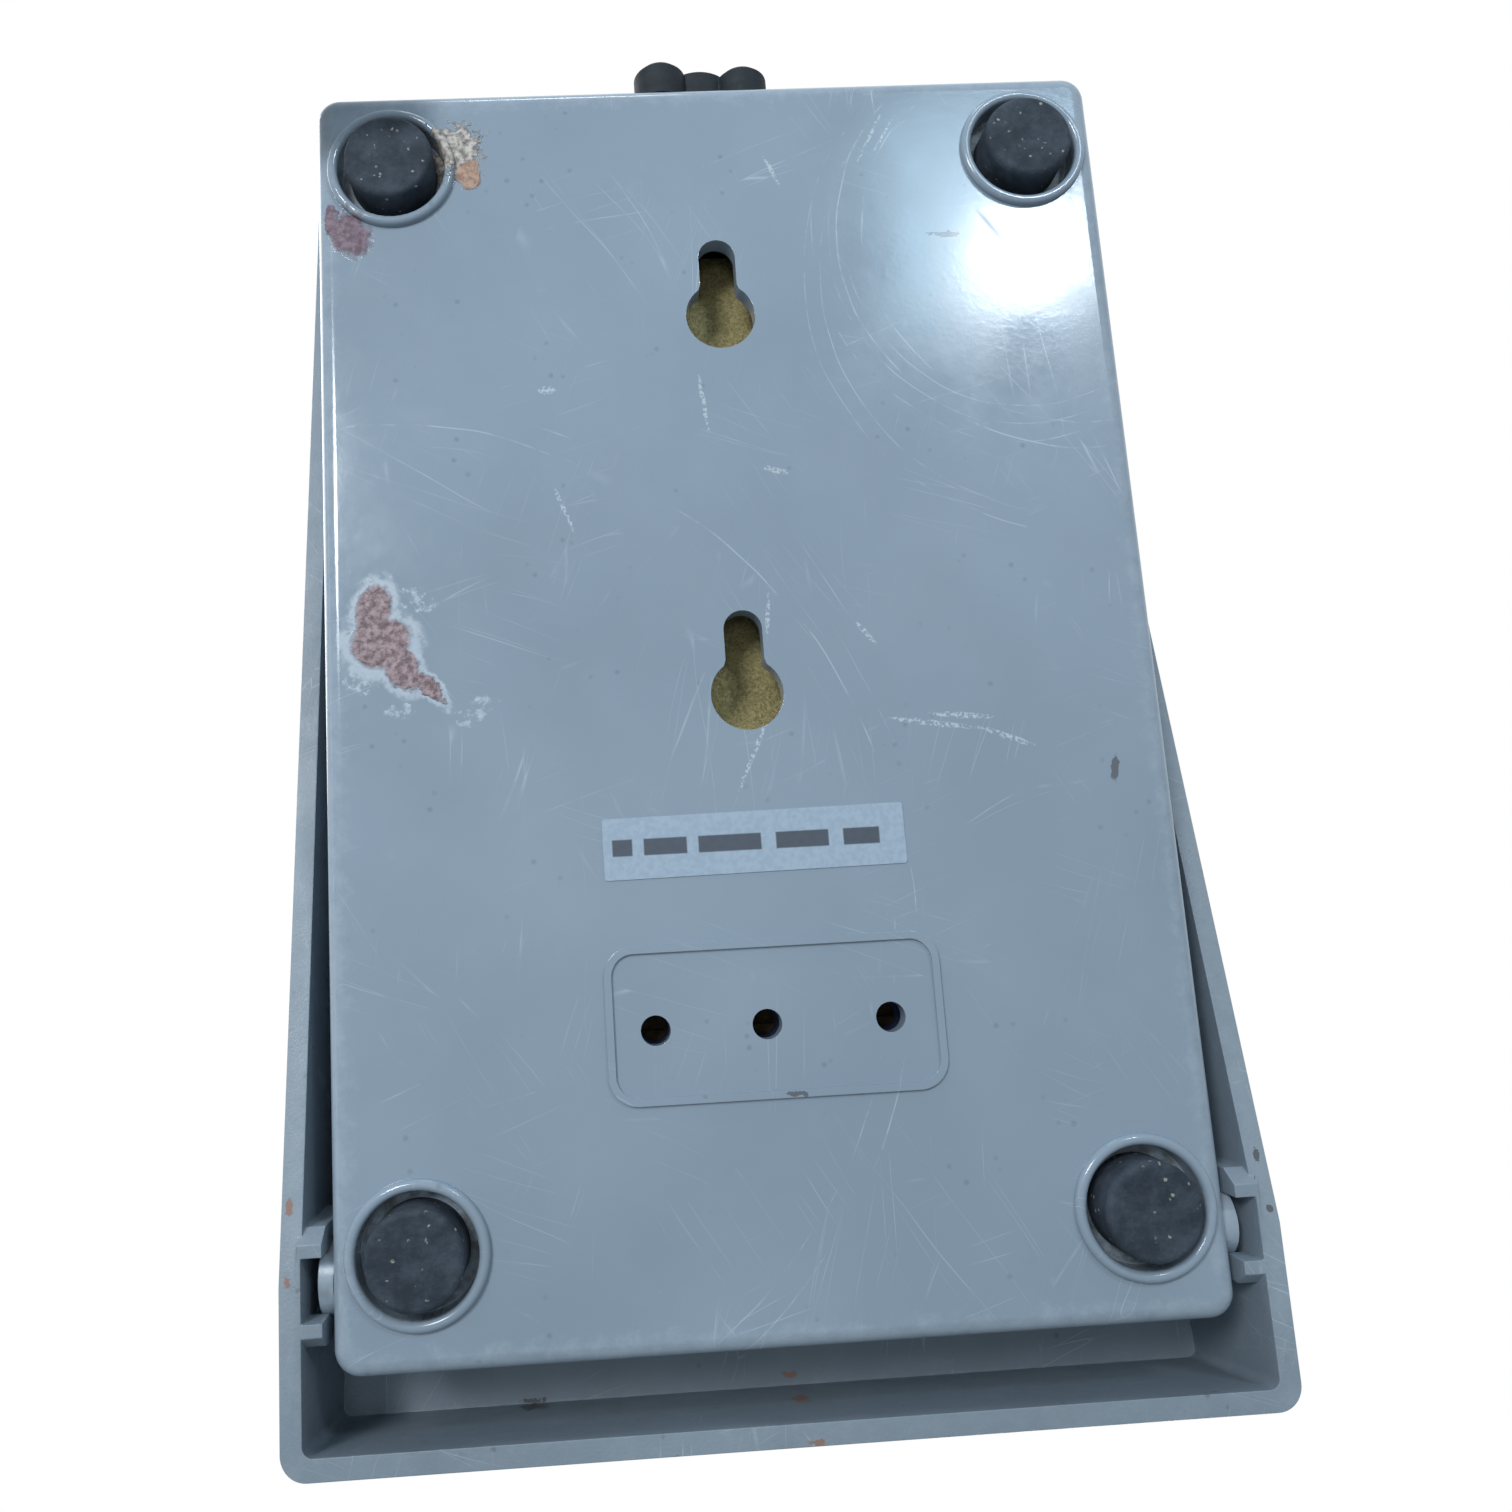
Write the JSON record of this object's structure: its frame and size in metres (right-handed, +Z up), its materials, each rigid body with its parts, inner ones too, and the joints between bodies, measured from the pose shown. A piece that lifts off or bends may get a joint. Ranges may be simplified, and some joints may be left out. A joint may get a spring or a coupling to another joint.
{
  "type": "treadle foot pedal",
  "caption": "Treadle foot pedal: a flat base on rubber feet with keyholes, and a sprung treadle that turns on side studs near the heel and moves a magnet plunger over a sensor board.",
  "frame": {"origin": "on the floor under the middle of the whole part's width and length", "axes": "+Z up, +Y from the heel and pivot end to the toe and cable gland end, X across; the part stands on its four feet"},
  "size_m": [0.1154, 0.18, 0.0543],
  "materials": {
    "grey_abs": "satin blue-grey ABS, scratched",
    "foot_rubber": "matt moulded rubber",
    "steel_screws": "zinc plated",
    "label_film": "silver-white label film",
    "yellow_steel": "yellow passivated steel",
    "board_green": "solder mask",
    "blue_plastic": "moulded",
    "brass": "machined",
    "black_plastic": "moulded nylon",
    "green_plastic": "moulded",
    "stud_plastic": "moulded acetal",
    "white_plastic": "acetal",
    "magnet_nickel": "nickel plated",
    "spring_steel": "drawn wire",
    "mat_rubber": "ribbed rubber"
  },
  "bodies": {
    "base": {"base_tray": "grey_abs", "base_deck": "grey_abs", "foot_heel_left": "foot_rubber", "foot_heel_right": "foot_rubber", "foot_toe_left": "foot_rubber", "foot_toe_right": "foot_rubber", "case_screws": "steel_screws", "serial_label": "label_film", "ballast_plate": "yellow_steel", "ballast_screws": "steel_screws", "circuit_board": "board_green", "board_screws": "steel_screws", "trimmer_left": "blue_plastic", "trimmer_centre": "blue_plastic", "trimmer_right": "blue_plastic", "hall_sensor": "black_plastic", "amplifier_chip": "black_plastic", "capacitor": "blue_plastic", "terminal_block": "green_plastic", "terminal_screws": "steel_screws", "gland_body": "black_plastic", "gland_seal": "foot_rubber", "gland_locknut": "black_plastic", "pivot_stud_left": "stud_plastic", "pivot_stud_right": "stud_plastic", "plunger_spring": "spring_steel", "return_spring_left": "spring_steel", "return_spring_right": "spring_steel", "down_stop_left": "foot_rubber", "down_stop_right": "foot_rubber", "rest_pad_left": "foot_rubber", "rest_pad_right": "foot_rubber"},
    "treadle": {"treadle_shell": "grey_abs", "treadle_mat": "mat_rubber"},
    "plunger": {"plunger": "white_plastic", "plunger_magnet": "magnet_nickel"},
    "gland_nut": {"gland_nut": "black_plastic"},
    "trimmer_screw_left": {"trimmer_screw_left": "brass"},
    "trimmer_screw_centre": {"trimmer_screw_centre": "brass"},
    "trimmer_screw_right": {"trimmer_screw_right": "brass"}
  },
  "joints": [
    {"name": "treadle_hinge", "type": "hinge", "parent": "base", "child": "treadle", "pos_m": [0, -0.06677, 0.009], "axis": [-1, 0, 0], "range_deg": [0, 8], "stiffness_Nm_per_rad": 3, "springref_deg": -8.59, "deforming": ["return_spring_left", "return_spring_right", "plunger_spring"]},
    {"name": "plunger_slide", "type": "slide", "parent": "base", "child": "plunger", "axis": [0, 0, -1], "range_m": [0, 0.00714]},
    {"name": "gland_nut_turn", "type": "hinge", "parent": "base", "child": "gland_nut", "pos_m": [0, 0.08723, 0.0135], "axis": [0, 1, 0], "continuous": true},
    {"name": "trimmer_left_turn", "type": "hinge", "parent": "base", "child": "trimmer_screw_left", "pos_m": [0.0136, -0.04037, 0.0075], "axis": [0, 0, -1], "range_deg": [-135, 135]},
    {"name": "trimmer_centre_turn", "type": "hinge", "parent": "base", "child": "trimmer_screw_centre", "pos_m": [0.0004, -0.04037, 0.0075], "axis": [0, 0, -1], "range_deg": [-135, 135]},
    {"name": "trimmer_right_turn", "type": "hinge", "parent": "base", "child": "trimmer_screw_right", "pos_m": [-0.0143, -0.04037, 0.0075], "axis": [0, 0, -1], "range_deg": [-135, 135]}
  ],
  "couplings": [
    {"joint": "plunger_slide", "follows": "treadle_hinge", "m_per_rad": 0.048238}
  ]
}
